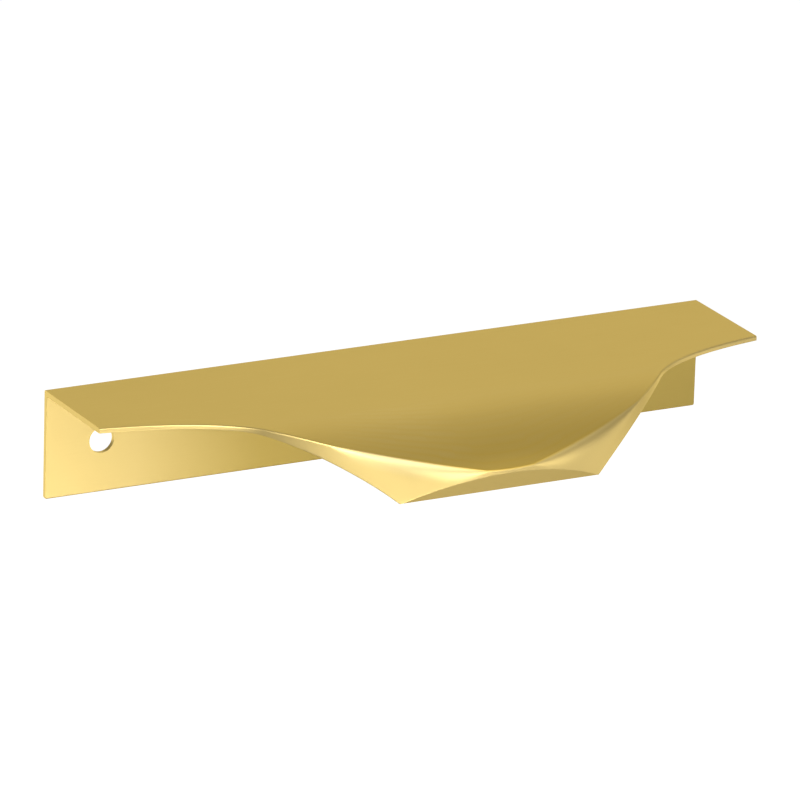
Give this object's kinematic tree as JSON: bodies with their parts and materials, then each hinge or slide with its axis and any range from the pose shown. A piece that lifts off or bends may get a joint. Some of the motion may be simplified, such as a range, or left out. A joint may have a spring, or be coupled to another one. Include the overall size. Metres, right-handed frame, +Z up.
{
  "type": "edge pull",
  "caption": "One-piece edge pull for a drawer or door front: thin L-shaped bar with a wave-cut, thickened nose and a screw hole near each end.",
  "frame": {"origin": "on the seat of the back plate, midway between the two screw holes", "axes": "+X along the pull, -Y into the room, over the edge of the front, +Z up"},
  "size_m": [0.115, 0.0452, 0.0177],
  "materials": {
    "pull": "fine satin brushed gold along the length"
  },
  "bodies": {
    "root": {"pull": "pull"}
  },
  "joints": []
}
